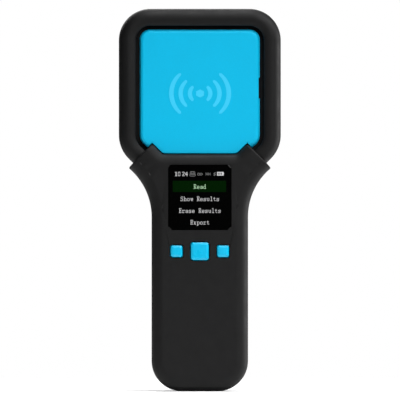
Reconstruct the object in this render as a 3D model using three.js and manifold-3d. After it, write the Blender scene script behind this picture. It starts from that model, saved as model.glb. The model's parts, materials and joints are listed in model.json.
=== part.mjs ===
// Handheld microchip scanner for animals: a square antenna head with a blue panel, clamped in the
// Y-shaped yoke of a straight grip that carries a small colour display and three push buttons.
//
// Millimetres. +X is to the right of someone who reads the display, +Y points away from them, and
// +Z runs up the grip to the head. The origin is the middle of the flat butt end of the grip.
import * as THREE from "three";
import { mergeVertices } from "three/addons/utils/BufferGeometryUtils.js";
import Module from "manifold-3d";

const wasm = await Module();
wasm.setup();

// ---------------------------------------------------------------------------------------------
// Driving dimensions
// ---------------------------------------------------------------------------------------------
const HEIGHT = 191;
const HEAD_WIDTH = 80.9;
const GRIP_WIDTH = 48.15;

const SEAM = 0.15; // each half of a casing stops this far from the joint plane, y = 0
const WALL = 2;
const GAP = 0.3; // between separate pieces that meet

// Outline of the grip and yoke
const BUTT_RADIUS = 15.1;
const SHOULDER_RADIUS = 31.75; // hollow curve from the grip out to the yoke's arms
const SHOULDER_Z = 87;
const SHOULDER_TURN = 50; // degrees
const VALLEY_Z = 118.35; // top edge of the yoke between its arms
const VALLEY_FILLET = 3;
const TIP = new THREE.Vector2(23.75, 123.55); // inner corner of an arm's mouth
const ARM_OVERRUN = 7; // arms are drawn this much too long, then cut off at the mouth
const MOUTH_DRAFT = 3; // degrees that the mouth leans back towards the joint plane

// Depth of the grip and yoke
const FRONT_DEPTH = 13;
const REAR_DEPTH = 13.5;
const SIDE_ROUND = { across: 6, deep: 6.5 };
const VALLEY_ROUND = { across: 4.95, deep: 3.8 };

// Antenna head
const HEAD_TOP_RADIUS = 15.7;
const HEAD_LOW_RADIUS = 16.75;
const HEAD_LOW_Z = 128; // centre of the two lower corner curves
const RIM_CREST = 10; // depth of the rim's crest, front and back
const RIM_SHOULDER = 3.5; // depth at which the rim starts to round over
const RIM_HALF = 4.8; // outline to crest
const RIM_WIDTH = 8.5;
const RIM_LIP = 8.4; // depth at which the rim's inner side turns straight
const FLOOR = 5.5; // depth of the groove's floor round the panel
const FLOOR_INSIDE = FLOOR - WALL;
const NECK_Z = 112; // lower end of the flat neck, inside the yoke

// Blue panel
const PANEL = { half: 29.95, top: 180.55, topRadius: 4.9, lowRadius: 6, slant: 95.45 };
const PANEL_FACE = 9.2;
const PANEL_THICKNESS = 1.8;
const PANEL_STEP = { across: 0.6, face: 6.4 }; // its foot stands out this far, to this depth
const PANEL_EDGE = { across: 1, deep: 0.6 };
const PANEL_NOTCH = { width: 0.6, height: 10.4, z: 151.4 };
const LEDGE_INSET = 14.2;
const HOOK = { x: 24.9, wide: 6, thick: 1.2, barb: 1.7, heights: [136, 168], back: -2.6 };

// Display
const WINDOW = { width: 31.45, height: 32.5, z: 96.8, radius: 1.9, thickness: 1 };
const SCREEN = { width: 26.1, height: 27.1, z: 96.2 };
const WINDOW_RECESS = 1.4;
const SCREEN_MARGIN = 0.8; // of the opening in the casing round the lit area
const GLASS = { half: 15.2, up: 15, down: 17.4, thickness: 1.3 }; // up and down from SCREEN.z
const BACKLIGHT = { width: 31.4, height: 33.4, thickness: 1.3, radius: 0.6 };
const CRADLE = { width: 31, height: 33, rail: 2.5, radius: 1 };
const RIBBON = { width: 12, half: 0.08, front: 0.4, back: 1 };
const LAYER_GAP = 0.05; // between stacked layers

// Buttons
const BUTTON_Z = 69.9;
const BUTTON_PITCH = 11.6;
const BUTTON_PROUD = 0.5;
const BUTTON_CLEARANCE = 0.5;
const BUTTON_TRAVEL = 0.5;
const SIDE_BUTTON = { width: 5.75, radius: 1 };
const MAIN_BUTTON = { width: 8.8, radius: 1.25 };

// Circuit board and battery
const BOARD = { front: -3.3, rear: -1.7, halfWidth: 19, low: 2.6, high: 110 };
const BATTERY = { width: 34, thickness: 10, length: 43, low: 14.7, front: -0.9 };
const USB = { width: 8.94, height: 3.26, length: 7.35, low: 1, corner: 1.5, wall: 0.3 };
const PORT = { clearance: 0.35, corner: 1.9 }; // opening for the plug, in the butt end

// Screws, driven from the back
const CASE_SCREWS = [
  { name: "case_screw_low_left", x: -12.5, z: 10.5 },
  { name: "case_screw_low_right", x: 12.5, z: 10.5 },
  { name: "case_screw_mid_left", x: -15, z: 62.3 },
  { name: "case_screw_mid_right", x: 15, z: 62.3 },
  { name: "case_screw_top_left", x: -19.6, z: 106 },
  { name: "case_screw_top_right", x: 19.6, z: 106 },
];
const BOSS_RADIUS = 2.7;
const POST_RADIUS = 2.2; // under the board screws
const PILOT = { boardRadius: 0.95, boardDepth: -8.5, caseClearance: 0.15 };
const SCREW = { shank: 1.2, head: 2.4, headHeight: 1.6, seat: 8.5, tip: -8 };
const SCREW_CLEARANCE = 0.2;
const BOARD_SCREW = { shank: 0.85, head: 1.7, headHeight: 1, seat: BOARD.rear + 0.05, tip: -7.8 };
const BOARD_SCREWS = [
  { name: "board_screw_left", x: -9, z: 61.2 },
  { name: "board_screw_right", x: 9, z: 61.2 },
];

// ---------------------------------------------------------------------------------------------
// Materials
// ---------------------------------------------------------------------------------------------
function material(color, roughness, metalness = 0) {
  return new THREE.MeshStandardMaterial({ color, roughness, metalness });
}
const BLACK_PLASTIC = material(0x242424, 0.5);
const BLUE_PLASTIC = material(0x17b4e6, 0.4);
const WINDOW_BLACK = material(0x050505, 0.12);
const SCREEN_GLASS = material(0x08090b, 0.15);
const WHITE_PLASTIC = material(0xd9d9d4, 0.55);
const CREAM_PLASTIC = material(0xe6dfc8, 0.6);
const BOARD_GREEN = material(0x0f4f2c, 0.45);
const CHIP_BLACK = material(0x161618, 0.4);
const COPPER = material(0xb4652f, 0.35, 0.9);
const STEEL = material(0xb8babd, 0.3, 1);
const POUCH_SILVER = material(0xa9adb2, 0.35, 0.8);
const FLEX_AMBER = material(0xb2701c, 0.45);
const FOAM_GREY = material(0x3a3a3c, 0.95);
const TAPE_BLACK = material(0x101010, 0.8);
const LEAD_RED = material(0xb01818, 0.5);
const LEAD_BLACK = material(0x141414, 0.5);
const LABEL_GREY = material(0x55585c, 0.5);

// ---------------------------------------------------------------------------------------------
// Solids
// ---------------------------------------------------------------------------------------------
const object = new THREE.Group();

// A closed geometry as a solid that can be joined and cut.
function solid(geometry) {
  const bare = geometry.clone();
  bare.deleteAttribute("normal");
  bare.deleteAttribute("uv");
  const merged = mergeVertices(bare, 1e-4);
  const vertProperties = new Float32Array(merged.attributes.position.array);
  const triVerts = new Uint32Array(merged.index.array);
  return new wasm.Manifold(new wasm.Mesh({ numProp: 3, vertProperties, triVerts }));
}

function geometryOf(body) {
  const mesh = body.getMesh();
  const positions = new Float32Array(mesh.numVert * 3);
  for (let i = 0; i < mesh.numVert; i++) {
    const start = i * mesh.numProp;
    positions.set(mesh.vertProperties.subarray(start, start + 3), i * 3);
  }
  const geometry = new THREE.BufferGeometry();
  geometry.setAttribute("position", new THREE.BufferAttribute(positions, 3));
  geometry.setIndex(new THREE.BufferAttribute(new Uint32Array(mesh.triVerts), 1));
  geometry.computeVertexNormals();
  return geometry;
}

// Adds a piece to the object, from a geometry or a solid.
function piece(name, shape, surface) {
  const geometry = shape.isBufferGeometry ? shape : geometryOf(shape);
  const mesh = new THREE.Mesh(geometry, surface);
  mesh.name = name;
  object.add(mesh);
  return mesh;
}

function degrees(angle) {
  return THREE.MathUtils.degToRad(angle);
}

// Points along a circle, from one angle to another, both included.
function arc(x, z, radius, from, to, steps) {
  return Array.from({ length: steps + 1 }, (_, i) => {
    const angle = degrees(from + ((to - from) * i) / steps);
    return new THREE.Vector2(x + radius * Math.cos(angle), z + radius * Math.sin(angle));
  });
}

// A whole outline from its right half, which runs anticlockwise from the bottom to the top.
function mirrored(right) {
  const left = right.map((p) => new THREE.Vector2(-p.x, p.y)).reverse();
  return [...right, ...left];
}

// A closed solid through outlines of equally many points, each { y, outline }, back level first.
function loft(levels) {
  const count = levels[0].outline.length;
  const positions = levels.flatMap(({ y, outline }) => outline.flatMap((p) => [p.x, y, p.y]));
  const index = [];
  for (let level = 0; level + 1 < levels.length; level++) {
    for (let i = 0; i < count; i++) {
      const next = (i + 1) % count;
      const back = level * count;
      const front = back + count;
      index.push(back + i, back + next, front + next, back + i, front + next, front + i);
    }
  }
  const last = (levels.length - 1) * count;
  for (const [a, b, c] of THREE.ShapeUtils.triangulateShape(levels[0].outline, [])) {
    index.push(c, b, a);
  }
  for (const [a, b, c] of THREE.ShapeUtils.triangulateShape(levels.at(-1).outline, [])) {
    index.push(last + a, last + b, last + c);
  }
  const geometry = new THREE.BufferGeometry();
  geometry.setAttribute("position", new THREE.Float32BufferAttribute(positions, 3));
  geometry.setIndex(index);
  return geometry;
}

// A flat plate of one outline between two depths, in either order.
function plate(outline, y1, y2) {
  return loft([
    { y: Math.max(y1, y2), outline },
    { y: Math.min(y1, y2), outline },
  ]);
}

function roundedRectangle(width, height, x, z, radius, steps = 4) {
  const dx = width / 2 - radius;
  const dz = height / 2 - radius;
  return [
    ...arc(x + dx, z - dz, radius, -90, 0, steps),
    ...arc(x + dx, z + dz, radius, 0, 90, steps),
    ...arc(x - dx, z + dz, radius, 90, 180, steps),
    ...arc(x - dx, z - dz, radius, 180, 270, steps),
  ];
}

// A box by its limits along each axis.
function block([x1, x2], [y1, y2], [z1, z2]) {
  const box = new THREE.BoxGeometry(Math.abs(x2 - x1), Math.abs(y2 - y1), Math.abs(z2 - z1));
  return box.translate((x1 + x2) / 2, (y1 + y2) / 2, (z1 + z2) / 2);
}

// A cylinder along Y at (x, z), between two depths.
function rod(x, z, radius, y1, y2, sides = 16) {
  const cylinder = new THREE.CylinderGeometry(radius, radius, Math.abs(y2 - y1), sides);
  return cylinder.translate(x, (y1 + y2) / 2, z);
}

// A round wire through points.
function wire(points, radius) {
  const path = new THREE.CatmullRomCurve3(points);
  const section = new THREE.Shape().absarc(0, 0, radius, 0, 2 * Math.PI);
  const steps = 8;
  return new THREE.ExtrudeGeometry(section, { extrudePath: path, steps, curveSegments: 4 });
}

// How far an edge rounded by a quarter ellipse has drawn in at a depth.
function roundedInset(y, depth, round) {
  const over = Math.max(0, Math.abs(y) - (depth - round.deep)) / round.deep;
  return round.across * (1 - Math.sqrt(Math.max(0, 1 - over * over)));
}

// Depths from the joint plane to the face, close together where the edge rounds over.
function roundedDepths(depth, round, steps) {
  const curve = Array.from({ length: steps + 1 }, (_, i) => {
    return depth - round.deep + round.deep * Math.sin((i / steps) * (Math.PI / 2));
  });
  return [SEAM, ...curve];
}

// ---------------------------------------------------------------------------------------------
// Grip and yoke
// ---------------------------------------------------------------------------------------------

const FILLET_CENTRE = new THREE.Vector2(
  VALLEY_Z + VALLEY_FILLET - (TIP.y - TIP.x) - VALLEY_FILLET * Math.SQRT2,
  VALLEY_Z + VALLEY_FILLET,
);

// The front view outline, drawn in by side along the grip and shoulders and by valley between the
// arms.
function bodyOutline(side, valley) {
  const half = GRIP_WIDTH / 2;
  const shoulder = arc(
    half + SHOULDER_RADIUS,
    SHOULDER_Z,
    SHOULDER_RADIUS + side,
    180,
    180 - SHOULDER_TURN,
    7,
  );
  const along = degrees(90 - SHOULDER_TURN);
  const armOuter = shoulder
    .at(-1)
    .clone()
    .add(new THREE.Vector2(Math.cos(along), Math.sin(along)).multiplyScalar(ARM_OVERRUN));
  const inward = valley * Math.SQRT1_2;
  const armInner = new THREE.Vector2(
    TIP.x + ARM_OVERRUN * Math.SQRT1_2 + inward,
    TIP.y + ARM_OVERRUN * Math.SQRT1_2 - inward,
  );
  return mirrored([
    ...arc(half - BUTT_RADIUS, BUTT_RADIUS, BUTT_RADIUS - side, -90, 0, 7),
    ...shoulder,
    armOuter,
    armInner,
    ...arc(FILLET_CENTRE.x, FILLET_CENTRE.y, VALLEY_FILLET + valley, -45, -90, 3),
  ]);
}

// Half of the grip and yoke as one block, its surface wall below the real one. facing is -1 for
// the front half and 1 for the rear.
function bodyBlock(facing, depth, wall) {
  const side = { across: SIDE_ROUND.across - wall, deep: SIDE_ROUND.deep - wall };
  const valley = { across: VALLEY_ROUND.across - wall, deep: VALLEY_ROUND.deep - wall };
  const inside = depth - wall;
  const levels = roundedDepths(inside, side, wall ? 3 : 6).map((y) => ({
    y: facing * y,
    outline: bodyOutline(
      wall + roundedInset(y, inside, side),
      wall + roundedInset(y, inside, valley),
    ),
  }));
  if (wall) levels[0].y = -facing; // a cavity runs out through the joint plane
  levels.sort((a, b) => b.y - a.y);
  return solid(loft(levels));
}

// All that lies past the mouth of one arm. side is 1 for the right arm and -1 for the left.
function pastMouth(side, facing) {
  const reach = 60;
  const box = new THREE.BoxGeometry(reach, reach, reach)
    .translate((side * reach) / 2, 0, 0)
    .rotateZ(degrees(side * facing * -MOUTH_DRAFT))
    .rotateY(degrees(-side * 45))
    .translate(side * TIP.x, facing * FRONT_DEPTH, TIP.y);
  return solid(box);
}

function boss(facing, { x, z }, depth) {
  return solid(rod(x, z, BOSS_RADIUS, facing * SEAM, facing * (depth - 0.5 * WALL)));
}

// One half of the grip and yoke, hollow, with its mouths open and room for the head's neck.
function bodyHalf(facing, depth) {
  let shell = bodyBlock(facing, depth, 0).subtract(bodyBlock(facing, depth, WALL));
  const neckRoom = headOutline(RIM_WIDTH - GAP, NECK_Z - GAP);
  shell = shell.subtract(solid(plate(neckRoom, -facing, facing * (FLOOR + GAP))));
  for (const side of [1, -1]) shell = shell.subtract(pastMouth(side, facing));
  for (const screw of CASE_SCREWS) shell = shell.add(boss(facing, screw, depth));
  const grow = 2 * PORT.clearance;
  const port = roundedRectangle(USB.width + grow, USB.height + grow, 0, 0, PORT.corner, 5);
  const portHole = solid(plate(port, -20, 9).rotateX(Math.PI / 2)); // turned to run along Z
  return shell.subtract(portHole);
}

// The lit area of the display with a margin round it.
function screenOutline(margin, radius) {
  const width = SCREEN.width + 2 * margin;
  return roundedRectangle(width, SCREEN.height + 2 * margin, 0, SCREEN.z, radius);
}

function handleFrontShell() {
  let shell = bodyHalf(-1, FRONT_DEPTH);
  for (const { x, z } of CASE_SCREWS) {
    const pilot = SCREW.shank + PILOT.caseClearance;
    shell = shell.subtract(solid(rod(x, z, pilot, 1, SCREW.tip - 1, 10)));
  }
  const { width, height, z, radius } = WINDOW;
  const recess = roundedRectangle(width + GAP, height + GAP, 0, z, radius + GAP / 2);
  shell = shell.subtract(solid(plate(recess, -FRONT_DEPTH - 1, -FRONT_DEPTH + WINDOW_RECESS)));
  const opening = screenOutline(SCREEN_MARGIN, 1);
  shell = shell.subtract(solid(plate(opening, -FRONT_DEPTH - 1, -FRONT_DEPTH + 2 * WALL)));
  for (const { x, size } of BUTTONS) {
    const hole = roundedRectangle(
      size.width + 2 * BUTTON_CLEARANCE,
      size.width + 2 * BUTTON_CLEARANCE,
      x,
      BUTTON_Z,
      size.radius + BUTTON_CLEARANCE,
    );
    shell = shell.subtract(solid(plate(hole, -FRONT_DEPTH - 1, -FRONT_DEPTH + 2 * WALL)));
  }
  for (const post of BOARD_SCREWS) {
    const root = -FRONT_DEPTH + 0.5 * WALL;
    shell = shell.add(solid(rod(post.x, post.z, POST_RADIUS, root, BOARD.front - 0.1)));
    const pilot = rod(post.x, post.z, PILOT.boardRadius, PILOT.boardDepth, 0, 10);
    shell = shell.subtract(solid(pilot));
  }
  return shell;
}

const SOUND_HOLES = { x: 0, z: 80, radius: 0.8, pitch: 3.1 };
const LABEL = { width: 30, height: 20, z: 38, radius: 2, depth: 0.5, thickness: 0.3 };

function handleRearShell() {
  let shell = bodyHalf(1, REAR_DEPTH);
  const seat = SCREW.seat;
  for (const { x, z } of CASE_SCREWS) {
    const headHole = SCREW.head + SCREW_CLEARANCE;
    shell = shell.add(solid(rod(x, z, headHole + 1.2, seat - 1.5, REAR_DEPTH - 0.5 * WALL)));
    shell = shell.subtract(solid(rod(x, z, SCREW.shank + SCREW_CLEARANCE, -1, seat + 1, 10)));
    shell = shell.subtract(solid(rod(x, z, headHole, seat, REAR_DEPTH + 1)));
  }
  for (let ring = 0; ring < 7; ring++) {
    const out = ring ? SOUND_HOLES.pitch : 0; // one hole in the middle and six round it
    const angle = degrees(60 * ring);
    const x = SOUND_HOLES.x + out * Math.cos(angle);
    const z = SOUND_HOLES.z + out * Math.sin(angle);
    shell = shell.subtract(solid(rod(x, z, SOUND_HOLES.radius, 8, REAR_DEPTH + 1, 8)));
  }
  const recess = roundedRectangle(LABEL.width, LABEL.height, 0, LABEL.z, LABEL.radius);
  return shell.subtract(solid(plate(recess, REAR_DEPTH - LABEL.depth, REAR_DEPTH + 1)));
}

// ---------------------------------------------------------------------------------------------
// Antenna head
// ---------------------------------------------------------------------------------------------

// The head's outline drawn in by inset, with its slanting lower sides run down to the height low.
function headOutline(inset, low) {
  const half = HEAD_WIDTH / 2;
  const lowX = half - HEAD_LOW_RADIUS;
  const slantFrom = HEAD_LOW_RADIUS * Math.SQRT2; // |x| where the outer slant meets z = low centre
  const slantX = lowX + slantFrom - (HEAD_LOW_Z - low) - inset * Math.SQRT2;
  const topX = half - HEAD_TOP_RADIUS;
  return mirrored([
    new THREE.Vector2(slantX, low),
    ...arc(lowX, HEAD_LOW_Z, HEAD_LOW_RADIUS - inset, -45, 0, 5),
    ...arc(topX, HEIGHT - HEAD_TOP_RADIUS, HEAD_TOP_RADIUS - inset, 0, 90, 8),
  ]);
}

// The panel's outline drawn in by inset at its top and sides. Its lower end follows the yoke's
// edge and is clear of it by gap.
function panelOutline(inset, gap) {
  const { half, top, topRadius, lowRadius, slant } = PANEL;
  const lowX = half - lowRadius;
  const cut = slant + inset * Math.SQRT2; // z - |x| along the cut lower corners
  const mouth = TIP.x + TIP.y + gap * Math.SQRT2; // |x| + z along the yoke's mouths
  const arm = TIP.y - TIP.x + gap * Math.SQRT2; // z - |x| along the arms' inner edges
  return mirrored([
    ...arc(FILLET_CENTRE.x, FILLET_CENTRE.y, VALLEY_FILLET - gap, -90, -45, 3),
    new THREE.Vector2((mouth - arm) / 2, (mouth + arm) / 2),
    new THREE.Vector2((mouth - cut) / 2, (mouth + cut) / 2),
    ...arc(lowX, slant + lowX + lowRadius * Math.SQRT2, lowRadius - inset, -45, 0, 3),
    ...arc(half - topRadius, top - topRadius, topRadius - inset, 0, 90, 5),
  ]);
}

// Levels { y, outline } along a quarter ellipse from one inset and depth to another. It leaves the
// first depth straight when it bulges out, and the first inset straight when it doesn't.
function quarterTurn(outlineAt, facing, insets, depths, steps, bulges) {
  return Array.from({ length: steps + 1 }, (_, i) => {
    const turn = (i / steps) * (Math.PI / 2);
    const swell = [1 - Math.cos(turn), Math.sin(turn)];
    const [across, deep] = bulges ? swell : [swell[1], swell[0]];
    return {
      y: facing * (depths[0] + (depths[1] - depths[0]) * deep),
      outline: outlineAt(insets[0] + (insets[1] - insets[0]) * across),
    };
  });
}

const LUG = { radius: 4.4, y1: SEAM, y2: 2.4, lowest: 100 };
const REAR_PLATE_FACE = PANEL_FACE - 1;
const HEAD_DRAWN_LOW = 100; // outlines are drawn down to here, and trimmed at the neck

// One half of the head: a rounded rim, a groove and a flat floor, hollow behind.
function headHalf(facing) {
  const drawn = (inset) => headOutline(inset, HEAD_DRAWN_LOW);
  const rise = [RIM_SHOULDER, RIM_CREST];
  const outside = quarterTurn(drawn, facing, [0, RIM_HALF], rise, 6, true);
  outside.push({ y: facing * SEAM, outline: drawn(0) });
  const fall = [RIM_CREST, RIM_LIP];
  const well = quarterTurn(drawn, facing, [RIM_HALF, RIM_WIDTH], fall, 5, false);
  well.push({ y: facing * (RIM_CREST + 1), outline: drawn(RIM_HALF) });
  well.push({ y: facing * FLOOR, outline: drawn(RIM_WIDTH) });

  const within = [RIM_SHOULDER, RIM_CREST - WALL];
  const channel = quarterTurn(drawn, facing, [WALL, RIM_HALF], within, 4, true);
  channel.push({ y: -facing, outline: drawn(WALL) });
  const core = plate(
    headOutline(RIM_WIDTH - WALL, HEAD_DRAWN_LOW - 7),
    facing * FLOOR_INSIDE,
    facing * 12,
  );
  const hollow = solid(loft(backFirst(channel))).subtract(solid(core));
  const shell = solid(loft(backFirst(outside))).subtract(solid(loft(backFirst(well))));
  return { shell, hollow };
}

function backFirst(levels) {
  return levels.sort((a, b) => b.y - a.y);
}

// All of the head that lies below a height.
function headBelow(z) {
  return solid(block([-60, 60], [-30, 30], [0, z]));
}

// A half of the head with its neck cut off square and closed by a wall. A slot in that wall lets
// the coil's leads through.
function withNeck({ shell, hollow }) {
  const closed = hollow.subtract(headBelow(NECK_Z + 0.8 * WALL));
  const slot = solid(block([5, 11], [-1.5, 1.5], [NECK_Z - 1, NECK_Z + 2 * WALL]));
  return shell.subtract(headBelow(NECK_Z)).subtract(closed).subtract(slot);
}

function headFrontFrame() {
  const ledge = plate(headOutline(LEDGE_INSET, VALLEY_Z + 3), 0, -FLOOR - 1);
  return withNeck(headHalf(-1)).subtract(solid(ledge));
}

// The rear half has a raised back plate, and two lugs that drop over the top case screws' bosses.
function headRearShell() {
  const raised = plate(panelOutline(0, GAP), FLOOR_INSIDE + 0.5, REAR_PLATE_FACE);
  const inner = plate(panelOutline(WALL, GAP + WALL), 0, REAR_PLATE_FACE - PANEL_THICKNESS);
  let shell = withNeck(headHalf(1)).add(solid(raised)).subtract(solid(inner));
  for (const { x, z } of CASE_SCREWS.filter((screw) => screw.z > LUG.lowest)) {
    const stem = block([x - LUG.radius, x + LUG.radius], [LUG.y1, LUG.y2], [z, NECK_Z + 1]);
    shell = shell
      .add(solid(stem))
      .add(solid(rod(x, z, LUG.radius, LUG.y1, LUG.y2)))
      .subtract(solid(rod(x, z, BOSS_RADIUS + GAP, LUG.y1 - 1, LUG.y2 + 1)));
  }
  return shell;
}

// The blue cover: a plate with rounded edges, a skirt with a stepped foot that stands on the ledge,
// and four hooks.
function antennaPanel() {
  const drawn = (inset) => panelOutline(inset, GAP);
  const insets = [PANEL_STEP.across, PANEL_STEP.across + PANEL_EDGE.across];
  const rise = [PANEL_FACE - PANEL_EDGE.deep, PANEL_FACE];
  const outside = quarterTurn(drawn, -1, insets, rise, 4, true);
  outside.push({ y: -FLOOR - 0.15, outline: drawn(0) });
  outside.push({ y: -PANEL_STEP.face, outline: drawn(0) });
  outside.push({ y: -PANEL_STEP.face - 0.05, outline: drawn(PANEL_STEP.across) });
  const inside = plate(panelOutline(1.5, GAP + 1.5), 0, -PANEL_FACE + PANEL_THICKNESS);
  const { width, height, z } = PANEL_NOTCH;
  const notch = block(
    [PANEL.half - width, PANEL.half + 1],
    [-20, 0],
    [z - height / 2, z + height / 2],
  );
  let cover = solid(loft(backFirst(outside))).subtract(solid(inside)).subtract(solid(notch));

  const { x, wide, thick, barb, heights, back } = HOOK;
  for (const side of [1, -1]) {
    for (const middle of heights) {
      const tall = [middle - wide / 2, middle + wide / 2];
      const stem = block([side * x, side * (x - thick)], [-8, back], tall);
      const catchY = [-FLOOR_INSIDE + 0.2, back];
      cover = cover.add(solid(stem)).add(solid(block([side * x, side * (x + barb)], catchY, tall)));
    }
  }
  return cover;
}

// Antenna: a flat plastic former with a groove round its edge, and the winding in the groove.
const FORMER = { outer: 3.2, inner: 9, half: 2.3, low: 110.6 };
const WINDING = { outer: 3.6, inner: 6.2, half: 1.3 };

function loop(outer, inner, half) {
  const rim = (inset) => headOutline(inset, FORMER.low + inset);
  return solid(plate(rim(outer), -half, half)).subtract(solid(plate(rim(inner), -20, 20)));
}

function coilFormer() {
  const groove = loop(FORMER.outer - 2, WINDING.inner + GAP, WINDING.half + GAP);
  return loop(FORMER.outer, FORMER.inner, FORMER.half).subtract(groove);
}

// ---------------------------------------------------------------------------------------------
// Display
// ---------------------------------------------------------------------------------------------
function frameOf(outer, inner, y1, y2) {
  return solid(plate(outer, y1, y2)).subtract(solid(plate(inner, -30, 30)));
}

function displayParts() {
  const { width, height, z, radius, thickness } = WINDOW;
  const face = -FRONT_DEPTH + LAYER_GAP;
  const outline = roundedRectangle(width, height, 0, z, radius);
  piece("display_window", plate(outline, face, face + thickness), WINDOW_BLACK);

  const trimmed = roundedRectangle(width - 2 * GAP, height - 2 * GAP, 0, z, radius - GAP);
  const tapeY = face + thickness + LAYER_GAP;
  const tape = frameOf(trimmed, screenOutline(SCREEN_MARGIN + 0.1, 0.8), tapeY, tapeY + 0.2);
  piece("window_adhesive", tape, TAPE_BLACK);

  const glassY = -FRONT_DEPTH + WALL + GAP;
  const foldZ = SCREEN.z - GLASS.down; // lower edge of the glass
  const glass = block(
    [-GLASS.half, GLASS.half],
    [glassY, glassY + GLASS.thickness],
    [foldZ, SCREEN.z + GLASS.up],
  );
  piece("display_panel", glass, SCREEN_GLASS);

  const middle = (foldZ + SCREEN.z + GLASS.up) / 2;
  const lightY = glassY + GLASS.thickness + LAYER_GAP;
  const light = roundedRectangle(
    BACKLIGHT.width,
    BACKLIGHT.height,
    0,
    middle,
    BACKLIGHT.radius,
    2,
  );
  piece("display_backlight", plate(light, lightY, lightY + BACKLIGHT.thickness), WHITE_PLASTIC);

  const cradleY = lightY + BACKLIGHT.thickness + LAYER_GAP;
  const cradleBack = BOARD.front - 0.1;
  const railOutline = (drawnIn) =>
    roundedRectangle(
      CRADLE.width - 2 * drawnIn,
      CRADLE.height - 2 * drawnIn,
      0,
      middle,
      CRADLE.radius,
      2,
    );
  const cradle = frameOf(railOutline(0), railOutline(CRADLE.rail), cradleY, cradleBack);
  const flexGap = solid(block([-9, 9], [cradleY, cradleBack], [middle - 25, middle - 9]));
  piece("display_cradle", cradle.subtract(flexGap), CHIP_BLACK);

  // A printed ribbon that folds from the lower edge of the glass back to the board.
  const start = glassY + RIBBON.front;
  const turn = cradleY + RIBBON.back;
  const end = BOARD.front - 1.35;
  const ribbon = new THREE.Shape();
  ribbon.moveTo(start, foldZ - LAYER_GAP);
  ribbon.lineTo(start, foldZ - 1);
  ribbon.bezierCurveTo(start, foldZ - 2.6, turn, foldZ - 2.4, turn, foldZ - 0.6);
  ribbon.lineTo(turn, foldZ + 3.2);
  ribbon.lineTo(end, foldZ + 5);
  ribbon.lineTo(end, foldZ + 8.4);
  const route = ribbon.getPoints(8);
  const outlinePoints = [
    ...route.map((p, i) => offsetPoint(route, i, RIBBON.half)),
    ...route.map((p, i) => offsetPoint(route, i, -RIBBON.half)).reverse(),
  ];
  const strip = new THREE.ExtrudeGeometry(new THREE.Shape(outlinePoints), {
    depth: RIBBON.width,
    bevelEnabled: false,
  });
  // The strip is drawn in the YZ plane: its X becomes Y, its Y becomes Z and its depth becomes X.
  const left = -RIBBON.width / 2;
  strip.applyMatrix4(
    new THREE.Matrix4().set(0, 0, 1, left, 1, 0, 0, 0, 0, 1, 0, 0, 0, 0, 0, 1),
  );
  piece("display_flex", strip, FLEX_AMBER);
  const connector = block(
    [left - 2, -left + 2],
    [BOARD.front - 1.2, BOARD.front - LAYER_GAP],
    [foldZ + 4.5, foldZ + 9],
  );
  piece("flex_connector", connector, CREAM_PLASTIC);
}

// A point of a route moved sideways by distance.
function offsetPoint(route, i, distance) {
  const before = route[Math.max(0, i - 1)];
  const after = route[Math.min(route.length - 1, i + 1)];
  const along = after.clone().sub(before).normalize();
  return route[i].clone().add(new THREE.Vector2(-along.y, along.x).multiplyScalar(distance));
}

// ---------------------------------------------------------------------------------------------
// Buttons and their switches
// ---------------------------------------------------------------------------------------------
const BUTTONS = [
  { name: "left", x: -BUTTON_PITCH, size: SIDE_BUTTON },
  { name: "centre", x: 0, size: MAIN_BUTTON },
  { name: "right", x: BUTTON_PITCH, size: SIDE_BUTTON },
];
const SWITCH = { width: 6, height: 3.5, plunger: 1.75, bore: 1.95, engaged: 0.8 };
const FLANGE = { proud: 1, thickness: 0.8 };
const BUTTON_ROUND = 0.6;

function buttonParts({ name, x, size }) {
  const top = -FRONT_DEPTH - BUTTON_PROUD;
  const flangeFront = -FRONT_DEPTH + WALL + 0.15;
  const flangeBack = flangeFront + FLANGE.thickness;
  const outline = (inset) =>
    roundedRectangle(
      size.width - 2 * inset,
      size.width - 2 * inset,
      x,
      BUTTON_Z,
      size.radius - inset,
    );
  const levels = [{ y: flangeBack, outline: outline(0) }];
  for (let i = 0; i <= 3; i++) {
    const turn = (i / 3) * (Math.PI / 2);
    const inset = BUTTON_ROUND * (1 - Math.cos(turn));
    levels.push({ y: top + BUTTON_ROUND * (1 - Math.sin(turn)), outline: outline(inset) });
  }
  const flangeWidth = size.width + 2 * FLANGE.proud;
  const flange = roundedRectangle(flangeWidth, flangeWidth, x, BUTTON_Z, size.radius);
  const cap = solid(loft(levels)).add(solid(plate(flange, flangeFront, flangeBack)));
  piece(`button_${name}`, cap, BLUE_PLASTIC);

  const baseBack = BOARD.front - LAYER_GAP;
  const baseTop = baseBack - SWITCH.height;
  const boreEnd = baseTop + SWITCH.engaged + BUTTON_TRAVEL + GAP;
  const half = SWITCH.width / 2;
  const base = solid(
    block(
      [x - half, x + half],
      [baseTop, baseBack],
      [BUTTON_Z - half, BUTTON_Z + half],
    ),
  ).subtract(solid(rod(x, BUTTON_Z, SWITCH.bore, baseTop - 1, boreEnd)));
  piece(`switch_base_${name}`, base, CHIP_BLACK);
  const plungerEnd = baseTop + SWITCH.engaged;
  const plunger = rod(x, BUTTON_Z, SWITCH.plunger, flangeBack + LAYER_GAP, plungerEnd);
  piece(`switch_plunger_${name}`, plunger, CREAM_PLASTIC);
}

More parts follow.
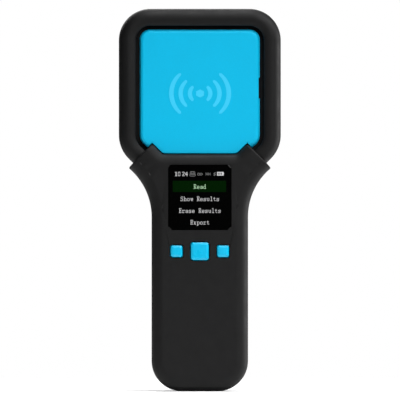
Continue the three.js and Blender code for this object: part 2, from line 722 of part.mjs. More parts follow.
// ---------------------------------------------------------------------------------------------
// Circuit board, battery and wiring
// ---------------------------------------------------------------------------------------------
const COMPONENT_Y = BOARD.rear + LAYER_GAP; // where the parts on the back of the board start
const BOARD_HOLE = 1.1;
const COMPONENTS = [
  { name: "processor_chip", x: [-3.5, 3.5], z: [97, 104], height: 1, surface: CHIP_BLACK },
  { name: "reader_chip", x: [-12, -7], z: [94, 98], height: 1.6, surface: CHIP_BLACK },
  { name: "charger_chip", x: [-12, -9], z: [66, 69], height: 1.1, surface: CHIP_BLACK },
  { name: "tuning_capacitor", x: [-12, -6], z: [102, 106], height: 2.2, surface: CREAM_PLASTIC },
  { name: "battery_socket", x: [6.5, 12.5], z: [72, 77], height: 3.4, surface: CREAM_PLASTIC },
  { name: "battery_plug", x: [6.9, 12.1], z: [67.4, 71.9], height: 3, surface: CREAM_PLASTIC },
  { name: "coil_socket", x: [5, 11], z: [98, 103], height: 3.4, surface: CREAM_PLASTIC },
  { name: "coil_plug", x: [5.4, 10.6], z: [103.1, 107.4], height: 3, surface: CREAM_PLASTIC },
];
const BUZZER = { radius: 6, height: 8, hole: 1, holeDepth: 2 };
const CONTACTS = { half: 3.2, thickness: 0.7 };
const BATTERY_PAD = { half: 12, ends: 7 };
const BATTERY_LEADS = [
  { name: "battery_lead_black", x: 8.5, surface: LEAD_BLACK },
  { name: "battery_lead_red", x: 10.5, surface: LEAD_RED },
];
const COIL_LEADS = [
  { name: "coil_lead_start", x: 7 },
  { name: "coil_lead_end", x: 9 },
];
const BATTERY_LEAD_RADIUS = 0.55;
const COIL_LEAD_RADIUS = 0.45;
const LEAD_GAP = 0.15; // between a lead and what it is joined to

function boardOutline() {
  const { halfWidth, low, high } = BOARD;
  return mirrored([
    new THREE.Vector2(9, low),
    new THREE.Vector2(halfWidth, low + 12),
    new THREE.Vector2(halfWidth, high - 8),
    new THREE.Vector2(halfWidth - 3, high),
  ]);
}

function mainBoard() {
  let board = solid(plate(boardOutline(), BOARD.front, BOARD.rear));
  for (const { x, z } of CASE_SCREWS) {
    board = board.subtract(solid(rod(x, z, BOSS_RADIUS + GAP, -20, 20, 20)));
  }
  for (const { x, z } of BOARD_SCREWS) {
    board = board.subtract(solid(rod(x, z, BOARD_HOLE, -20, 20, 12)));
  }
  return board;
}

// The USB socket: a rounded steel sleeve, open at the butt end, with its contact tongue inside.
function usbSocket() {
  const { width, height, length, low, corner, wall } = USB;
  const sleeve = (drawnIn) =>
    roundedRectangle(width - 2 * drawnIn, height - 2 * drawnIn, 0, 0, corner - drawnIn, 5);
  const outer = solid(plate(sleeve(0), low, low + length));
  const inner = solid(plate(sleeve(wall), low - 1, low + length - 1));
  const { half, thickness } = CONTACTS;
  const tongue = block([-half, half], [low + 1, low + length], [-thickness / 2, thickness / 2]);
  const socket = geometryOf(outer.subtract(inner).add(solid(tongue)));
  return socket.rotateX(Math.PI / 2); // turned to run along Z
}

function boardParts() {
  piece("main_board", mainBoard(), BOARD_GREEN);
  for (const { name, x, z, height, surface } of COMPONENTS) {
    piece(name, block(x, [COMPONENT_Y, COMPONENT_Y + height], z), surface);
  }
  const { z } = SOUND_HOLES;
  const top = COMPONENT_Y + BUZZER.height;
  const can = solid(rod(0, z, BUZZER.radius, COMPONENT_Y, top, 24));
  const hole = solid(rod(0, z, BUZZER.hole, top - BUZZER.holeDepth, top + 1, 10));
  piece("buzzer", can.subtract(hole), CHIP_BLACK);
  piece("usb_socket", usbSocket(), STEEL);
}

function batteryParts() {
  const { width, thickness, length, low, front } = BATTERY;
  const outline = roundedRectangle(width, thickness, 0, front + thickness / 2, 3.2, 4);
  const cell = plate(outline, -low - length, -low).rotateX(-Math.PI / 2);
  piece("battery_cell", cell, POUCH_SILVER);
  const { half, ends } = BATTERY_PAD;
  const pad = block(
    [-half, half],
    [front + thickness + 0.1, REAR_DEPTH - WALL - 0.1],
    [low + ends, low + length - ends],
  );
  piece("battery_pad", pad, FOAM_GREY);

  const leadFrom = low + length + LEAD_GAP;
  const plug = COMPONENTS.find((part) => part.name === "battery_plug");
  const leadTo = plug.z[0] - LEAD_GAP;
  for (const { name, x, surface } of BATTERY_LEADS) {
    const route = [
      new THREE.Vector3(x - 2, 4, leadFrom),
      new THREE.Vector3(x - 2, 4, leadFrom + 1.5),
      new THREE.Vector3(x, 0.4, leadTo - 1.65),
      new THREE.Vector3(x, 0.3, leadTo),
    ];
    piece(name, wire(route, BATTERY_LEAD_RADIUS), surface);
  }
}

function coilParts() {
  piece("coil_former", coilFormer(), CREAM_PLASTIC);
  piece("antenna_coil", loop(WINDING.outer, WINDING.inner, WINDING.half), COPPER);
  const leadFrom = FORMER.low + WINDING.outer - LEAD_GAP;
  const plug = COMPONENTS.find((part) => part.name === "coil_plug");
  const leadTo = plug.z[1] + LEAD_GAP;
  for (const { name, x } of COIL_LEADS) {
    const route = [
      new THREE.Vector3(x, 0, leadFrom),
      new THREE.Vector3(x, 0, leadFrom - 1.85),
      new THREE.Vector3(x, 0.1, leadTo + 2),
      new THREE.Vector3(x, 0, leadTo),
    ];
    piece(name, wire(route, COIL_LEAD_RADIUS), COPPER);
  }
}

// ---------------------------------------------------------------------------------------------
// Screws and label
// ---------------------------------------------------------------------------------------------

// A pan-head screw along Y, its head outwards at the depth seat, with a cross recess.
function screw({ name, x, z }, { shank, head, headHeight, seat, tip }) {
  const top = seat + headHeight;
  const profile = [
    new THREE.Vector2(0, tip),
    new THREE.Vector2(0.4 * shank, tip),
    new THREE.Vector2(shank, tip + 1.5),
    new THREE.Vector2(shank, seat),
    new THREE.Vector2(head, seat),
    new THREE.Vector2(head, top - 0.3 * headHeight),
    new THREE.Vector2(0.75 * head, top),
    new THREE.Vector2(0, top),
  ];
  let body = solid(new THREE.LatheGeometry(profile, 12).translate(x, 0, z));
  const arm = 0.6 * head;
  const slot = 0.14 * head;
  const depth = [top - 0.6 * headHeight, top + 1];
  body = body.subtract(solid(block([x - arm, x + arm], depth, [z - slot, z + slot])));
  body = body.subtract(solid(block([x - slot, x + slot], depth, [z - arm, z + arm])));
  piece(name, body, STEEL);
}

// ---------------------------------------------------------------------------------------------
// The object
// ---------------------------------------------------------------------------------------------
piece("handle_front_shell", handleFrontShell(), BLACK_PLASTIC);
piece("handle_rear_shell", handleRearShell(), BLACK_PLASTIC);
piece("head_front_frame", headFrontFrame(), BLACK_PLASTIC);
piece("head_rear_shell", headRearShell(), BLACK_PLASTIC);
piece("antenna_panel", antennaPanel(), BLUE_PLASTIC);
coilParts();
displayParts();
BUTTONS.forEach(buttonParts);
boardParts();
batteryParts();
for (const place of CASE_SCREWS) screw(place, { ...SCREW, seat: SCREW.seat + LAYER_GAP });
for (const place of BOARD_SCREWS) screw(place, BOARD_SCREW);
const labelOutline = roundedRectangle(
  LABEL.width - 2 * GAP,
  LABEL.height - 2 * GAP,
  0,
  LABEL.z,
  LABEL.radius - GAP,
);
const labelY = REAR_DEPTH - LABEL.depth + LAYER_GAP;
piece("rating_label", plate(labelOutline, labelY, labelY + LABEL.thickness), LABEL_GREY);

export default object;
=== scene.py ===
"""A handheld microchip scanner for animals: an antenna head with a blue panel, held in the yoke of a
grip that carries a small colour display and three push buttons.

Lengths are in millimetres until a mesh is made. +X is to the right of the person who reads the
display, +Y points away from them and +Z runs up the grip. What the frame holds is read from it.
"""
import json
import math

import bmesh
import bpy
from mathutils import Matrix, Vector
from mathutils.geometry import delaunay_2d_cdt

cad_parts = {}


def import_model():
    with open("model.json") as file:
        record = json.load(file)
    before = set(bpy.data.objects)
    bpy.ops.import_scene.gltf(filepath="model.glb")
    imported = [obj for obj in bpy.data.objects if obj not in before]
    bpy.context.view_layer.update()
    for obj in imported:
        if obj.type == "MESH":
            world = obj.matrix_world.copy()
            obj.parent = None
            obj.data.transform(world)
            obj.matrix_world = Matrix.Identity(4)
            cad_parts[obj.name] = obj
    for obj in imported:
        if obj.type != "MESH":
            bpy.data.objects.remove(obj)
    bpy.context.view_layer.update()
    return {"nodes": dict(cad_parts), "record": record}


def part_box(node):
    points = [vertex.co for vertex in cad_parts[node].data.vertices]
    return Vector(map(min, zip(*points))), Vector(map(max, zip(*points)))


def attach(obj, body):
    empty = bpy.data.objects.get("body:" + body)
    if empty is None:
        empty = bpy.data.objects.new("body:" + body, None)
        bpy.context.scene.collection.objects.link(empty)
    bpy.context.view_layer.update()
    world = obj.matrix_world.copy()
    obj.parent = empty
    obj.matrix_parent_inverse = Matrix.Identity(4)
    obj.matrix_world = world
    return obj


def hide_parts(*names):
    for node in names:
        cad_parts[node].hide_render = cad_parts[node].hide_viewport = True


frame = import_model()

MM = 0.001
ROOT2 = math.sqrt(2)

# ----------------------------------------------------------------------------------------------
# Sizes
# ----------------------------------------------------------------------------------------------


def limits(node):
    """The lowest and highest corner of a CAD node, in millimetres."""
    low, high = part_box(node)
    return low / MM, high / MM


FRONT = -limits("handle_front_shell")[0].y  # depth of the grip's front face
REAR = limits("handle_rear_shell")[1].y
SEAM = -limits("handle_front_shell")[1].y  # each half of a casing stops this far from y = 0
WALL = 2
GAP = 0.3
JOINT_ROUND = 0.18  # the small rounding along the joints of the casing's halves

# Grip and yoke
GRIP_HALF = 24.075
BUTT_RADIUS = 15.1
SHOULDER_RADIUS = 31.75
SHOULDER_Z = 87
VALLEY_Z = 118.35
VALLEY_FILLET = 3
TIP_X = 23.75
TIP_Z = 123.55
MOUTH_SLOPE = math.tan(math.radians(3))
SIDE_ROUND = (6, 6.5)  # how far an edge draws in, and over what depth
VALLEY_ROUND = (4.95, 3.8)
MOUTH_ROUND = 0.6
TIP_ROUND = 0.95
ARM_LINE = TIP_Z - TIP_X  # z - |x| along the inner edges of the yoke's arms
FILLET_Z = VALLEY_Z + VALLEY_FILLET
FILLET_X = FILLET_Z - ARM_LINE - VALLEY_FILLET * ROOT2

# Antenna head
HEAD_HALF = limits("head_front_frame")[1].x
HEAD_TOP = limits("head_front_frame")[1].z
NECK_Z = limits("head_front_frame")[0].z
HEAD_TOP_RADIUS = 15.7
HEAD_LOW_RADIUS = 16.75
HEAD_LOW_Z = 128
RIM_CREST = limits("head_rear_shell")[1].y
RIM_SHOULDER = 3.5
RIM_HALF = 4.8
RIM_WIDTH = 8.5
RIM_LIP = 8.4
FLOOR = 5.5
LEDGE_INSET = 14.2
LEDGE_Z = VALLEY_Z + 3
REAR_PLATE = 8.2

# Blue panel
PANEL_LOW, PANEL_HIGH = limits("antenna_panel")
PANEL_HALF = PANEL_HIGH.x
PANEL_TOP = PANEL_HIGH.z
PANEL_FACE = -PANEL_LOW.y
PANEL_TOP_RADIUS = 4.9
PANEL_LOW_RADIUS = 6
PANEL_SLANT = 95.45  # z - |x| along its cut lower corners
SKIRT_STEP = 0.6  # the foot of its edge stands this far out, up to a depth
SKIRT_FACE = 6.4
NOTCH_HEIGHT = 10.4
NOTCH_Z = 151.4

# ----------------------------------------------------------------------------------------------
# Outlines, as lists of (x, z)
# ----------------------------------------------------------------------------------------------


def arc(x, z, radius, start, end, steps):
    """Points along a circle between two angles in degrees, both included."""
    turns = [math.radians(start + (end - start) * i / steps) for i in range(steps + 1)]
    return [(x + radius * math.cos(t), z + radius * math.sin(t)) for t in turns]


def both_sides(right):
    """A line that starts on the right, completed by its mirror image."""
    return right + [(-x, z) for x, z in reversed(right)]


def rounded_rectangle(width, height, x, z, radius, steps=8):
    dx = width / 2 - radius
    dz = height / 2 - radius
    return (
        arc(x + dx, z - dz, radius, -90, 0, steps)
        + arc(x + dx, z + dz, radius, 0, 90, steps)
        + arc(x - dx, z + dz, radius, 90, 180, steps)
        + arc(x - dx, z - dz, radius, 180, 270, steps)
    )


def circle(x, z, radius, steps=32):
    return arc(x, z, radius, 0, 360, steps)[:-1]


def mouth_sum(depth):
    """|x| + z on the plane of the yoke's mouths, which leans back towards the joint plane."""
    return TIP_X + TIP_Z - ROOT2 * MOUTH_SLOPE * (FRONT - depth)


def lower_line(inset, depth):
    """The grip's outline from its right mouth down round the butt and up to the left mouth."""
    centre_x = GRIP_HALF + SHOULDER_RADIUS
    reach = SHOULDER_RADIUS + inset
    offset = (mouth_sum(depth) - centre_x - SHOULDER_Z) / (ROOT2 * reach)
    start = 45 + math.degrees(math.acos(offset))
    shoulder = arc(centre_x, SHOULDER_Z, reach, start, 180, 24)
    butt = arc(GRIP_HALF - BUTT_RADIUS, BUTT_RADIUS, BUTT_RADIUS - inset, 0, -90, 18)
    return both_sides(shoulder + butt)


def upper_line(inset, depth):
    """The yoke's edge between its arms, from the right mouth to the left one."""
    arm = ARM_LINE - ROOT2 * inset
    total = mouth_sum(depth)
    start = ((total - arm) / 2, (total + arm) / 2)
    fillet = arc(FILLET_X, FILLET_Z, VALLEY_FILLET + inset, -45, -90, 8)
    return both_sides([start] + fillet)


def head_line(inset, low):
    """The head's outline from the right end of its neck, at the height low, over to the left."""
    low_x = HEAD_HALF - HEAD_LOW_RADIUS
    slant_x = low_x + ROOT2 * HEAD_LOW_RADIUS - (HEAD_LOW_Z - low) - ROOT2 * inset
    top_x = HEAD_HALF - HEAD_TOP_RADIUS
    lower = arc(low_x, HEAD_LOW_Z, HEAD_LOW_RADIUS - inset, -45, 0, 14)
    upper = arc(top_x, HEAD_TOP - HEAD_TOP_RADIUS, HEAD_TOP_RADIUS - inset, 0, 90, 22)
    return both_sides([(slant_x, low)] + lower + upper)


def panel_line(inset, gap):
    """The panel's closed outline. Its lower end follows the yoke's edge, gap away from it."""
    low_x = PANEL_HALF - PANEL_LOW_RADIUS
    cut = PANEL_SLANT + ROOT2 * inset
    mouth = TIP_X + TIP_Z + ROOT2 * gap
    arm = ARM_LINE + ROOT2 * gap
    fillet = arc(FILLET_X, FILLET_Z, VALLEY_FILLET - gap, -90, -45, 6)
    corners = [((mouth - arm) / 2, (mouth + arm) / 2), ((mouth - cut) / 2, (mouth + cut) / 2)]
    low_z = PANEL_SLANT + low_x + ROOT2 * PANEL_LOW_RADIUS
    lower = arc(low_x, low_z, PANEL_LOW_RADIUS - inset, -45, 0, 8)
    top_x = PANEL_HALF - PANEL_TOP_RADIUS
    upper = arc(top_x, PANEL_TOP - PANEL_TOP_RADIUS, PANEL_TOP_RADIUS - inset, 0, 90, 12)
    return both_sides(fillet + corners + lower + upper)


def quarter(start, end, steps, swells=True):
    """(inset, depth) pairs along a quarter ellipse. It leaves start straight ahead in depth if it
    swells, and straight across if it doesn't."""
    pairs = []
    for i in range(steps + 1):
        turn = math.pi / 2 * i / steps
        across, deep = 1 - math.cos(turn), math.sin(turn)
        if not swells:
            across, deep = deep, across
        inset = start[0] + (end[0] - start[0]) * across
        pairs.append((inset, start[1] + (end[1] - start[1]) * deep))
    return pairs


# ----------------------------------------------------------------------------------------------
# Meshes
# ----------------------------------------------------------------------------------------------


def at_depth(line, y):
    return [(x, y, z) for x, z in line]


def inside(point, loop):
    x, y = point
    hit = False
    for (x1, y1), (x2, y2) in zip(loop, loop[1:] + loop[:1]):
        if (y1 > y) != (y2 > y) and x < x1 + (y - y1) * (x2 - x1) / (y2 - y1):
            hit = not hit
    return hit


FLAT_STRENGTH = 16384  # marks the faces that the weighted normals follow first


class Sheet:
    """A surface grown from rows of points, whose marked edges are rounded when it is made."""

    def __init__(self):
        self.bm = bmesh.new()
        self.rounding = self.bm.edges.layers.float.new("bevel_weight_edge")
        self.strength = self.bm.faces.layers.int.new("__mod_weightednormals_faceweight")
        self.known = {}

    def vertex(self, point):
        key = tuple(round(c, 4) for c in point)
        if key not in self.known:
            self.known[key] = self.bm.verts.new([c * MM for c in point])
        return self.known[key]

    def face(self, points, strength=0):
        """Adds a face. Where faces meet, only the strongest ones set the way the surface shades."""
        corners = list(dict.fromkeys(self.vertex(p) for p in points))
        if len(corners) > 2 and not self.bm.faces.get(corners):
            self.bm.faces.new(corners)[self.strength] = strength

    def strip(self, rows, closed=False):
        for a, b in zip(rows, rows[1:]):
            if closed:
                a, b = a + a[:1], b + b[:1]
            for p, q, r, s in zip(a, a[1:], b[1:], b):
                self.face([p, q, r, s])

    def fill(self, outline, holes, place):
        """Triangles between a flat outline and the holes in it; place makes 3-D points."""
        points, edges = [], []
        for loop in [outline, *holes]:
            first = len(points)
            points += [Vector(p) for p in loop]
            count = len(loop)
            edges += [(first + i, first + (i + 1) % count) for i in range(count)]
        verts, _, faces, *_ = delaunay_2d_cdt(points, edges, [], 0, 1e-6)
        for face in faces:
            centre = sum((verts[i] for i in face), Vector((0, 0))) / len(face)
            if inside(centre, outline) and not any(inside(centre, hole) for hole in holes):
                self.face([place(*verts[i]) for i in face], FLAT_STRENGTH)

    def soften(self, line, width, closed=True):
        """Marks the edges along a line of points, to be rounded over a width."""
        for p, q in zip(line, line[1:] + line[:1] if closed else line[1:]):
            edge = self.bm.edges.get((self.vertex(p), self.vertex(q)))
            if edge:
                edge[self.rounding] = width

    def make(self, name, outward, wall=0, smooth=True):
        """The finished object. outward is the way most of the sheet faces; wall thickens it."""
        bm = self.bm
        bmesh.ops.recalc_face_normals(bm, faces=bm.faces)
        facing = sum((f.normal * f.calc_area() for f in bm.faces), Vector())
        if wall and facing.dot(Vector(outward)) < 0:
            bmesh.ops.reverse_faces(bm, faces=bm.faces)
        widest = max([edge[self.rounding] for edge in bm.edges] + [0])
        if widest:
            for edge in bm.edges:
                edge[self.rounding] /= widest
        mesh = bpy.data.meshes.new(name)
        bm.to_mesh(mesh)
        bm.free()
        made = bpy.data.objects.new(name, mesh)
        bpy.context.scene.collection.objects.link(made)
        if not smooth:
            return made
        mesh.shade_smooth()
        if wall:
            thick = made.modifiers.new("wall", "SOLIDIFY")
            thick.thickness = wall * MM
            thick.offset = -1
            thick.use_even_offset = True
        if widest:
            bevel = made.modifiers.new("rounding", "BEVEL")
            bevel.width = widest * MM
            bevel.segments = 3
            bevel.limit_method = "WEIGHT"
            bevel.use_clamp_overlap = False
        normals = made.modifiers.new("normals", "WEIGHTED_NORMAL")
        normals.keep_sharp = True
        normals.use_face_influence = True
        return made


def closed_loft(name, rows):
    """A closed solid through rows of equally many points, capped flat at both ends."""
    sheet = Sheet()
    sheet.strip(rows, closed=True)
    for row in (rows[0], rows[-1]):
        y = row[0][1]
        sheet.fill([(x, z) for x, _, z in row], [], lambda x, z: (x, y, z))
    return sheet.make(name, (0, 0, 0))


# ----------------------------------------------------------------------------------------------
# Grip and yoke
# ----------------------------------------------------------------------------------------------
PORT_CLEARANCE = 0.35
PORT_HIGH = limits("usb_socket")[1]
PORT_HALF = PORT_HIGH.x + PORT_CLEARANCE
PORT_DEPTH = PORT_HIGH.y + PORT_CLEARANCE
BUTT_HALF = GRIP_HALF - BUTT_RADIUS


def port_edge(facing):
    """The USB opening's edge in the flat butt end, as (x, y) from its right end to its left."""
    corner = PORT_DEPTH - SEAM
    across = PORT_HALF - corner
    right = arc(across, SEAM, corner, 0, 90, 10)
    return [(x, facing * y) for x, y in both_sides(right)]


def handle_half(name, facing, depth, holes, add_detail):
    """Half of the grip and yoke. holes are openings in its face, and add_detail adds to it."""
    sheet = Sheet()
    side_in, side_deep = SIDE_ROUND
    side = [(0, SEAM)] + quarter((0, depth - side_deep), (side_in, depth), 14)
    valley_in, valley_deep = VALLEY_ROUND
    valley = [(0, SEAM)] + quarter((0, depth - valley_deep), (valley_in, depth), 12)
    lower = [at_depth(lower_line(inset, y), facing * y) for inset, y in side]
    upper = [at_depth(upper_line(inset, y), facing * y) for inset, y in valley]

    # The lowest band of the wall is flat across the butt end, where the USB opening is cut in it.
    middle = len(lower[0]) // 2
    for line in (slice(None, middle), slice(middle, None)):
        sheet.strip([row[line] for row in lower[:2]])
    sheet.strip(lower[1:])
    sheet.strip(upper)
    port = port_edge(facing)
    y_far = facing * (depth - side_deep)
    butt = [(BUTT_HALF, y_far), (-BUTT_HALF, y_far), (-BUTT_HALF, facing * SEAM)]
    butt += list(reversed(port)) + [(BUTT_HALF, facing * SEAM)]
    sheet.fill(butt, [], lambda x, y: (x, y, 0))

    face = lower_line(side_in, depth) + list(reversed(upper_line(valley_in, depth)))
    sheet.fill(face, holes, lambda x, z: (x, facing * depth, z))

    for row in (lower[0], upper[0], [(x, y, 0) for x, y in port]):
        sheet.soften(row, JOINT_ROUND, closed=False)
    for end in (0, -1):
        mouth = [row[end] for row in lower] + [upper[-1][end]]
        sheet.soften(mouth, MOUTH_ROUND, closed=False)
        sheet.soften([row[end] for row in upper], TIP_ROUND, closed=False)
    add_detail(sheet)
    made = sheet.make(name, (0, facing, 0), WALL)
    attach(made, "casing")
    return made


WINDOW_LOW, WINDOW_HIGH = limits("display_window")
WINDOW_X = (WINDOW_LOW.x + WINDOW_HIGH.x) / 2
WINDOW_Z = (WINDOW_LOW.z + WINDOW_HIGH.z) / 2
WINDOW_WIDTH = WINDOW_HIGH.x - WINDOW_LOW.x
WINDOW_HEIGHT = WINDOW_HIGH.z - WINDOW_LOW.z
WINDOW_RADIUS = 1.9
WINDOW_HOLE_ROUND = 0.06
BUTTON_HOLE_ROUND = 0.22

BUTTON_FLANGE = 1  # how far it stands out all round
FLANGE_THICKNESS = 0.8
BUTTON_CLEARANCE = 0.5
BUTTONS = {}
for side, radius in (("left", 1), ("centre", 1.25), ("right", 1)):
    low, high = limits(f"button_{side}")
    BUTTONS[side] = {
        "x": (low.x + high.x) / 2,
        "z": (low.z + high.z) / 2,
        "width": high.x - low.x - 2 * BUTTON_FLANGE,
        "top": low.y,
        "radius": radius,
    }


def window_line(margin):
    """The window's outline, grown all round by a margin."""
    width, height = WINDOW_WIDTH + 2 * margin, WINDOW_HEIGHT + 2 * margin
    return rounded_rectangle(width, height, WINDOW_X, WINDOW_Z, WINDOW_RADIUS + margin)


def front_holes():
    holes = [window_line(GAP / 2)]
    for b in BUTTONS.values():
        width = b["width"] + 2 * BUTTON_CLEARANCE
        radius = b["radius"] + BUTTON_CLEARANCE
        holes.append(rounded_rectangle(width, width, b["x"], b["z"], radius))
    return holes


def front_detail(sheet):
    window, *buttons = front_holes()
    sheet.soften(at_depth(window, -FRONT), WINDOW_HOLE_ROUND)
    for hole in buttons:
        sheet.soften(at_depth(hole, -FRONT), BUTTON_HOLE_ROUND)


CASE_SCREWS = [n for n in frame["nodes"] if n.startswith("case_screw")]
SCREW_SEAT = 8.5  # how far behind y = 0 the screws' heads sit
SCREW_HOLE = 2.6
SHANK_HOLE = 1.4
SCREW_HOLE_ROUND = 0.25
LABEL_LOW, LABEL_HIGH = limits("rating_label")
LABEL_RECESS = 0.5
LABEL_RADIUS = 1.7
REAR_ROUND = 0.12  # the rounding of the sound holes and the label's recess
SOUND_PITCH = 3.1
SOUND_RADIUS = 0.8


def centre_of(node):
    low, high = limits(node)
    return (low + high) / 2


def sound_holes():
    middle = centre_of("buzzer")
    spots = [(middle.x, middle.z)] + arc(middle.x, middle.z, SOUND_PITCH, 0, 300, 5)
    return [circle(x, z, SOUND_RADIUS, 20) for x, z in spots]


def label_outline(margin):
    middle = centre_of("rating_label")
    width = LABEL_HIGH.x - LABEL_LOW.x + 2 * margin
    height = LABEL_HIGH.z - LABEL_LOW.z + 2 * margin
    return rounded_rectangle(width, height, middle.x, middle.z, LABEL_RADIUS + margin)


def screw_holes(radius):
    return [circle(centre_of(n).x, centre_of(n).z, radius) for n in CASE_SCREWS]


def rear_detail(sheet):
    for hole, shank in zip(screw_holes(SCREW_HOLE), screw_holes(SHANK_HOLE)):
        mouth = at_depth(hole, REAR)
        sheet.strip([mouth, at_depth(hole, SCREW_SEAT)], closed=True)
        sheet.fill(hole, [shank], lambda x, z: (x, SCREW_SEAT, z))
        sheet.soften(mouth, SCREW_HOLE_ROUND)
    for hole in sound_holes():
        sheet.soften(at_depth(hole, REAR), REAR_ROUND)
    recess = label_outline(GAP)
    floor = REAR - LABEL_RECESS
    sheet.strip([at_depth(recess, REAR), at_depth(recess, floor)], closed=True)
    sheet.fill(recess, [], lambda x, z: (x, floor, z))
    sheet.soften(at_depth(recess, REAR), REAR_ROUND)


OVERLAP = 0.01  # how far a piece that closes a joint runs into its neighbours


def seam_tongue(name, line):
    """The tongue in the joint of two casing halves, which closes the parting line. line makes the
    points of the casing's outline at an inset."""
    shallow, deep, reach = 0.45, WALL - 0.3, SEAM + OVERLAP
    section = [(shallow, -reach), (shallow, reach), (deep, reach), (deep, -reach)]
    section.append(section[0])
    rows = [at_depth(line(inset), y) for inset, y in section]
    sheet = Sheet()
    sheet.strip(rows)
    for end in (0, -1):
        sheet.face([row[end] for row in rows[:-1]])
    made = sheet.make(name, (0, 0, 0))
    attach(made, "casing")
    dress(made, materials["shell_black"])


def grip_side(side, inset):
    """One side of the grip's outline, from its mouth down to the USB opening in the butt."""
    line = [(x, z) for x, z in lower_line(inset, REAR) if side * x > 0]
    if side < 0:
        line.reverse()
    return line[1:] + [(side * (PORT_HALF + 0.5), inset)]


# ----------------------------------------------------------------------------------------------
# Antenna head
# ----------------------------------------------------------------------------------------------


def head_half(name, facing, holes, add_detail):
    """Half of the head: a rounded rim, and the floor that it surrounds. holes are openings in it."""
    profile = [(0, SEAM)] + quarter((0, RIM_SHOULDER), (RIM_HALF, RIM_CREST), 14)
    profile += quarter((RIM_HALF, RIM_CREST), (RIM_WIDTH, RIM_LIP), 10, swells=False)[1:]
    profile += [(RIM_WIDTH, FLOOR)]
    sheet = Sheet()
    rows = [at_depth(head_line(inset, NECK_Z), facing * y) for inset, y in profile]
    sheet.strip(rows)
    sheet.fill(head_line(RIM_WIDTH, NECK_Z), holes, lambda x, z: (x, facing * FLOOR, z))
    sheet.soften(rows[0], JOINT_ROUND, closed=False)
    add_detail(sheet)
    made = sheet.make(name, (0, facing, 0), WALL)
    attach(made, "casing")
    return made


PLATE_ROUND = 0.7


def raised_back_plate(sheet):
    """The plate behind the coil. Its lower end draws in half as fast as its sides."""
    profile = [(0, FLOOR)]
    profile += quarter((0, REAR_PLATE - PLATE_ROUND), (PLATE_ROUND, REAR_PLATE), 6)
    lines = [panel_line(inset, GAP + 0.5 * inset) for inset, _ in profile]
    rows = [at_depth(line, y) for line, (_, y) in zip(lines, profile)]
    sheet.strip(rows, closed=True)
    sheet.fill(lines[-1], [], lambda x, z: (x, REAR_PLATE, z))


def notched(line, depth_in):
    """A panel outline with the notch in its right edge, cut to depth_in from the edge's foot."""
    low, high = NOTCH_Z - NOTCH_HEIGHT / 2, NOTCH_Z + NOTCH_HEIGHT / 2
    edge = max(x for x, _ in line)
    cut = min(edge, PANEL_HALF - depth_in)
    after = max(i for i, (x, z) in enumerate(line) if x > edge - 1e-6 and z < NOTCH_Z)
    notch = [(edge, low), (cut, low + 0.01), (cut, high - 0.01), (edge, high)]
    return line[: after + 1] + notch + line[after + 1 :]


PANEL_WALL = 1.2


def antenna_panel():
    """The blue cover, with a stepped foot round its edge and a chamfer at its face."""
    top, step, ledge = PANEL_FACE, SKIRT_STEP, SKIRT_FACE
    foot = [(0, FLOOR + 0.15), (0, ledge - 0.15), (0.1, ledge), (step, ledge + 0.05)]
    chamfer = [(step, top - 0.6), (step + 0.06, top - 0.5)]
    chamfer += [(step + 0.95, top - 0.05), (step + 1.15, top)]
    sheet = Sheet()
    rows = []
    for inset, y in foot + chamfer:
        line = notched(panel_line(inset, GAP + 0.25 * max(0, inset - step)), step)
        rows.append(at_depth(line, -y))
    sheet.strip(rows, closed=True)
    sheet.fill([(x, z) for x, _, z in rows[-1]], [], lambda x, z: (x, -top, z))
    made = sheet.make("antenna_panel_cover", (0, -1, 0), PANEL_WALL)
    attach(made, "casing")
    return made


SYMBOL_X = 0.15
SYMBOL_Z = 148.7
PRINT_THICKNESS = 0.04
HEXAGON = (2.3, 2.05)  # its corners lie on an ellipse with these half axes, across and up
STROKE_TAPER = 0.42  # the share of its width that a stroke loses towards its ends
STROKE_END = 0.93  # how far along its half sweep a stroke's rounded end starts
STROKE_TIP = 0.02  # the share of its width that is left at the very tip
WAVES = [  # where each arc's circle is centred, its radius, half its sweep and half its stroke
    {"x": 0.74, "radius": 4.36, "sweep": 54, "half": 1.05},
    {"x": 1.57, "radius": 8.13, "sweep": 53, "half": 1.1},
    {"x": 1.61, "radius": 12.74, "sweep": 52, "half": 1.15},
]


def wave_outline(wave, side):
    """One arc of the radio symbol, thinner towards its rounded ends."""
    outer, inner = [], []
    steps = 28
    for i in range(steps + 1):
        t = 2 * i / steps - 1
        turn = math.radians(wave["sweep"] * t)
        half = wave["half"] * (1 - STROKE_TAPER * t * t)
        end = max(0.0, (abs(t) - STROKE_END) / (1 - STROKE_END))
        half *= math.sqrt(max(0.0, 1 - end * end)) * (1 - STROKE_TIP) + STROKE_TIP
        for line, radius in ((outer, wave["radius"] + half), (inner, wave["radius"] - half)):
            x = wave["x"] + radius * math.cos(turn)
            line.append((SYMBOL_X + side * x, SYMBOL_Z + radius * math.sin(turn)))
    return outer + list(reversed(inner))


def symbol():
    """The radio-wave symbol printed on the panel: a hexagon and three arcs on each side."""
    wide, tall = HEXAGON
    corners = [math.radians(30 + 60 * i) for i in range(6)]
    hexagon = [(SYMBOL_X + wide * math.cos(a), SYMBOL_Z + tall * math.sin(a)) for a in corners]
    outlines = [hexagon] + [wave_outline(w, side) for w in WAVES for side in (1, -1)]
    sheet = Sheet()
    back, front = -PANEL_FACE + 0.02, -PANEL_FACE - PRINT_THICKNESS
    for outline in outlines:
        sheet.strip([at_depth(outline, back), at_depth(outline, front)], closed=True)
        sheet.fill(outline, [], lambda x, z: (x, back, z))
        sheet.fill(outline, [], lambda x, z: (x, front, z))
    made = sheet.make("panel_symbol", (0, 0, 0), smooth=False)
    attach(made, "casing")
    return made


# ----------------------------------------------------------------------------------------------
# Buttons, window, screws
# ----------------------------------------------------------------------------------------------


